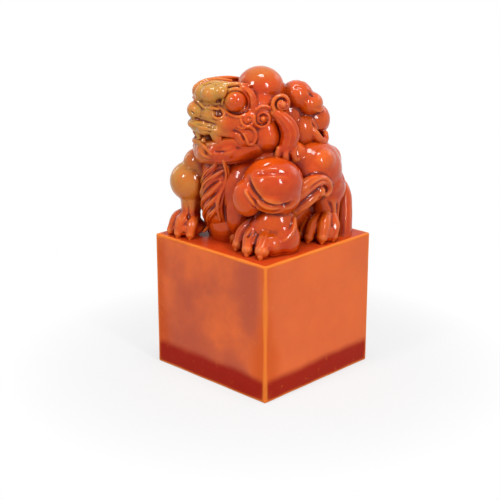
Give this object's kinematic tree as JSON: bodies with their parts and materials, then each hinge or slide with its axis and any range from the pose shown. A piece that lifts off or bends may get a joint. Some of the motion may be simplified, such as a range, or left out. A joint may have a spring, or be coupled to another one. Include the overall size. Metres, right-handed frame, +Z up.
{
  "type": "seal stamp",
  "caption": "Carved stone seal with a square block whose flat underside takes the seal, and a guardian lion turning its head on top as the handle",
  "frame": {"origin": "centre of the seal face, the block's flat underside", "axes": "+Z up through the block to the lion's crown; -Y is the way the lion's body faces; +X is the lion's left"},
  "size_m": [0.04, 0.04, 0.0811],
  "materials": {
    "block_stone": "polished translucent red-orange soapstone, waxed",
    "red_stone": "polished translucent red-orange soapstone, waxed",
    "amber_stone": "polished translucent amber to yellow-green soapstone, waxed"
  },
  "bodies": {
    "root": {"belly": "red_stone", "canines": "red_stone", "chest": "red_stone", "chest_mane": "red_stone", "crown_knob": "red_stone", "left_brow": "amber_stone", "left_cheek_curls": "red_stone", "left_ear": "red_stone", "left_eye": "red_stone", "left_flame": "red_stone", "left_foreleg": "red_stone", "left_forepaw": "red_stone", "left_haunch": "red_stone", "left_hind_leg": "red_stone", "left_hind_paw": "red_stone", "left_jowl": "red_stone", "left_shoulder": "red_stone", "left_side_lock": "red_stone", "lower_jaw": "red_stone", "lower_mane_lock": "red_stone", "muzzle": "amber_stone", "nose": "amber_stone", "right_brow": "amber_stone", "right_cheek_curls": "red_stone", "right_ear": "red_stone", "right_eye": "red_stone", "right_flame": "red_stone", "right_foreleg": "amber_stone", "right_forepaw": "red_stone", "right_haunch": "red_stone", "right_hind_leg": "red_stone", "right_hind_paw": "red_stone", "right_jowl": "red_stone", "right_mane_locks": "red_stone", "right_shoulder": "amber_stone", "right_side_lock": "red_stone", "seal_block": "block_stone", "skull": "red_stone", "spine_rolls": "red_stone", "tail": "red_stone", "tongue": "red_stone", "trunk": "red_stone", "upper_lip": "amber_stone", "upper_mane_lock": "red_stone"}
  },
  "joints": []
}
